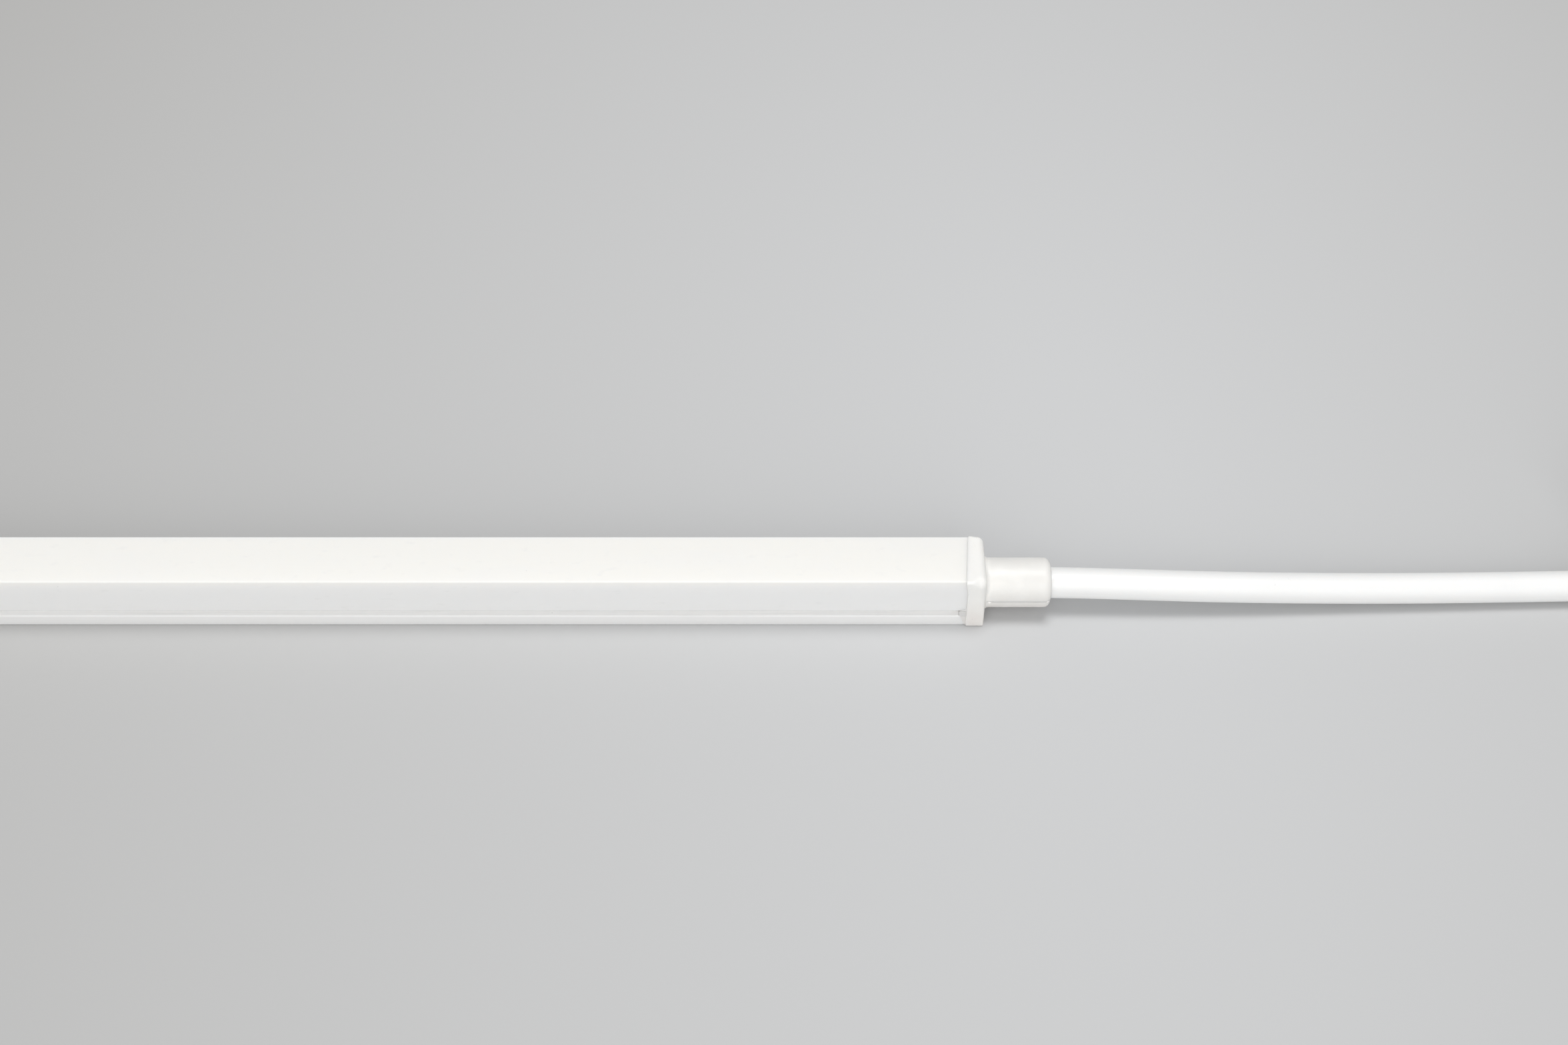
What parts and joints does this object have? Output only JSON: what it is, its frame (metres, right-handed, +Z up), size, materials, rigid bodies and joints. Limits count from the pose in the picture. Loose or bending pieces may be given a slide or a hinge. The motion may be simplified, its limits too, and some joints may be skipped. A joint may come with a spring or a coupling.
{
  "type": "led light tube",
  "caption": "Straight square-section silicone light tube with side clip grooves, a moulded lead end with a round boot, a blank end and a lead with a screw-collar connector.",
  "frame": {"origin": "bottom centre of the tube with its two caps and its boot, on the surface it rests on, without the lead", "axes": "+X along the tube towards the lead, +Y across it, +Z up out of the light-giving face"},
  "size_m": [0.5885, 0.0434, 0.017],
  "materials": {
    "milky_silicone": "satin, slightly translucent milky silicone",
    "white_silicone": "satin opaque white silicone",
    "cap_silicone": "satin translucent moulded silicone",
    "sealant": "glossy cured silicone adhesive",
    "lead_jacket": "smooth satin white silicone jacket",
    "board_white": "white solder mask",
    "tape": "pale acrylic tape",
    "led_plastic": "moulded white light package",
    "phosphor": "yellow phosphor gel",
    "resistor": "black chip resistor",
    "copper": "tinned copper",
    "solder": "bright solder",
    "red_insulation": "red core insulation",
    "black_insulation": "black core insulation",
    "tie_nylon": "natural white nylon",
    "connector_plastic": "satin white moulded plastic",
    "insert_plastic": "black insulator",
    "pin_brass": "gold-flashed brass",
    "seal_rubber": "orange silicone ring"
  },
  "bodies": {
    "tube": {"diffuser_shell": "milky_silicone", "inner_channel": "white_silicone", "base_flange": "white_silicone", "led_board": "board_white", "board_tape": "tape", "led_packages": "led_plastic", "led_phosphors": "phosphor", "resistors": "resistor", "solder_pads": "copper", "solder_joints": "solder", "feed_cap": "cap_silicone", "feed_sealant": "sealant", "blank_cap": "cap_silicone", "blank_sealant": "sealant", "core_positive": "red_insulation", "core_negative": "black_insulation", "core_strands": "copper", "lead_inlet": "lead_jacket", "lead_run": "lead_jacket", "lead_hank": "lead_jacket", "lead_tail": "lead_jacket", "cable_tie": "tie_nylon", "connector_body": "connector_plastic", "connector_relief": "connector_plastic", "connector_insert": "insert_plastic", "contact_pins": "pin_brass", "connector_seal": "seal_rubber"},
    "coupling_nut": {"coupling_nut": "connector_plastic"}
  },
  "joints": [
    {"name": "nut_turn", "type": "hinge", "parent": "tube", "child": "coupling_nut", "pos_m": [0.283, 0.0136, 0.0085], "axis": [-1, 0, 0], "continuous": true}
  ]
}
